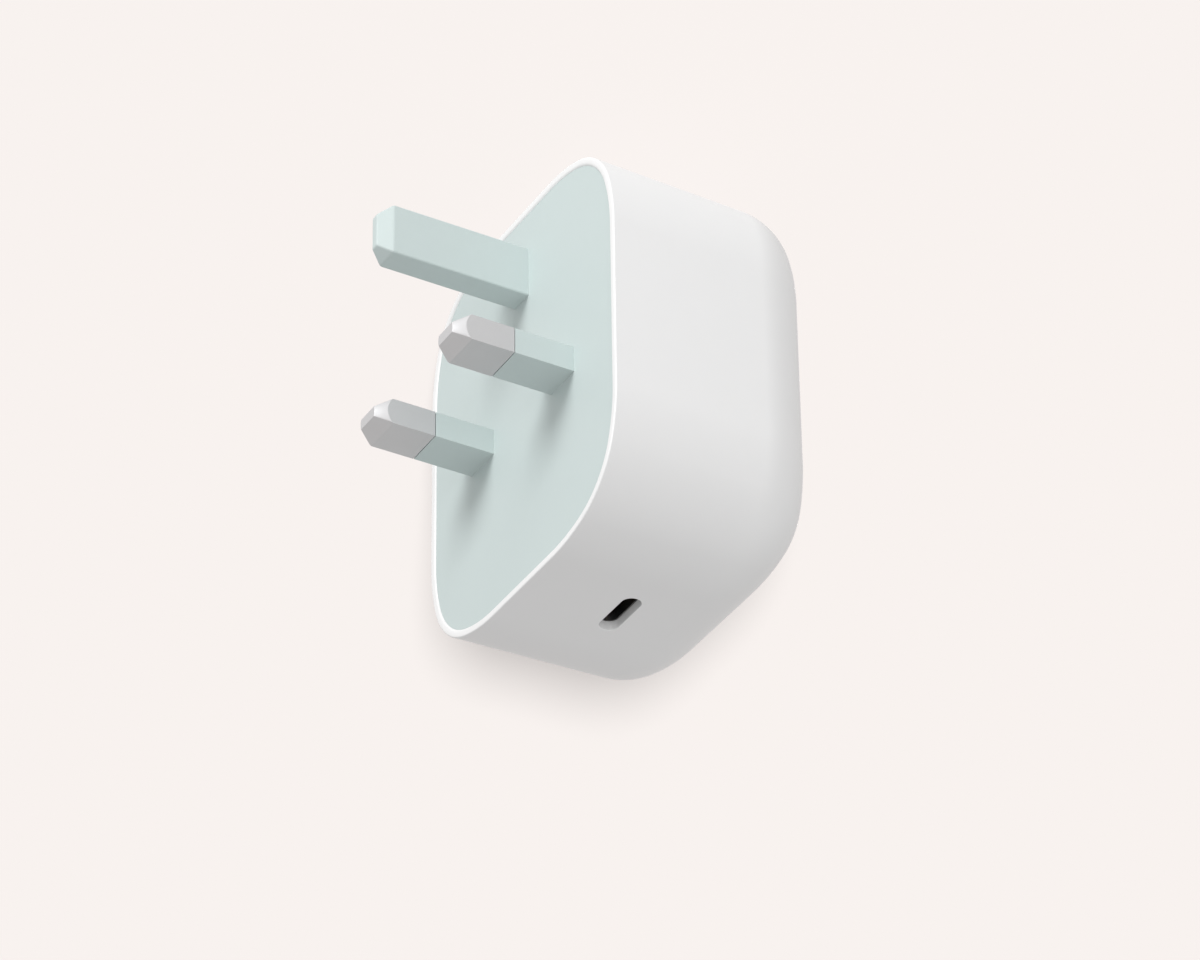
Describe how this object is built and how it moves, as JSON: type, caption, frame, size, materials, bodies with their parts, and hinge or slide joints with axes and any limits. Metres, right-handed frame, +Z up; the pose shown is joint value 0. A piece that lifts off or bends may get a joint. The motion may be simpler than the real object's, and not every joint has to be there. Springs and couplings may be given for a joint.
{
  "type": "usb-c power adapter",
  "caption": "Compact mains plug adapter with sleeved line and neutral pins, a moulded earth pin and a USB-C socket.",
  "frame": {"origin": "on the pin face, midway between the line and neutral pins", "axes": "+Z up towards the earth pin, -Y the way the pins point, +X across towards the neutral pin"},
  "size_m": [0.0512, 0.0557, 0.0613],
  "materials": {
    "housing_plastic": "satin moulded white",
    "face_plastic": "matt moulded pale grey green",
    "pin_metal": "nickel plated, satin",
    "spring_metal": "phosphor bronze strip",
    "contact_gold": "gold plated",
    "circuit_board": "green solder mask",
    "socket_steel": "darkened drawn steel",
    "black_plastic": "moulded black",
    "ferrite": "matt sintered ferrite",
    "copper_wire": "enamelled copper",
    "tape": "yellow polyester tape",
    "can_sleeve": "dark shrink sleeve on aluminium",
    "fuse_glass": "clear glass with metal caps",
    "ceramic_blue": "dipped ceramic disc",
    "film_box": "moulded yellow box",
    "thermal_pad": "soft silicone pad",
    "spreader_metal": "rolled sheet",
    "barrier_sheet": "flame retardant sheet"
  },
  "bodies": {
    "root": {"outer_shell": "housing_plastic", "pin_plate": "face_plastic", "line_pin": "pin_metal", "neutral_pin": "pin_metal", "line_pin_sleeve": "face_plastic", "neutral_pin_sleeve": "face_plastic", "line_contact_spring": "spring_metal", "neutral_contact_spring": "spring_metal", "main_board": "circuit_board", "port_board": "circuit_board", "usb_c_shell": "socket_steel", "usb_c_tongue": "black_plastic", "usb_c_contacts": "contact_gold", "transformer_bobbin": "black_plastic", "transformer_core_left": "ferrite", "transformer_core_right": "ferrite", "transformer_winding": "copper_wire", "transformer_tape": "tape", "bulk_capacitor_lower": "can_sleeve", "bulk_capacitor_upper": "can_sleeve", "output_capacitor_left": "can_sleeve", "output_capacitor_right": "can_sleeve", "fuse": "fuse_glass", "varistor": "ceramic_blue", "safety_capacitor": "ceramic_blue", "film_capacitor": "film_box", "choke_core": "ferrite", "choke_winding_upper": "copper_wire", "choke_winding_lower": "copper_wire", "bridge_rectifier": "black_plastic", "primary_switch": "black_plastic", "sync_rectifier": "black_plastic", "optocoupler": "black_plastic", "rectifier_thermal_pad": "thermal_pad", "switch_thermal_pad": "thermal_pad", "sync_thermal_pad": "thermal_pad", "heat_spreader": "spreader_metal", "main_board_chips": "black_plastic", "port_controller": "black_plastic", "port_board_chips": "black_plastic", "insulation_barrier": "barrier_sheet"}
  },
  "joints": []
}
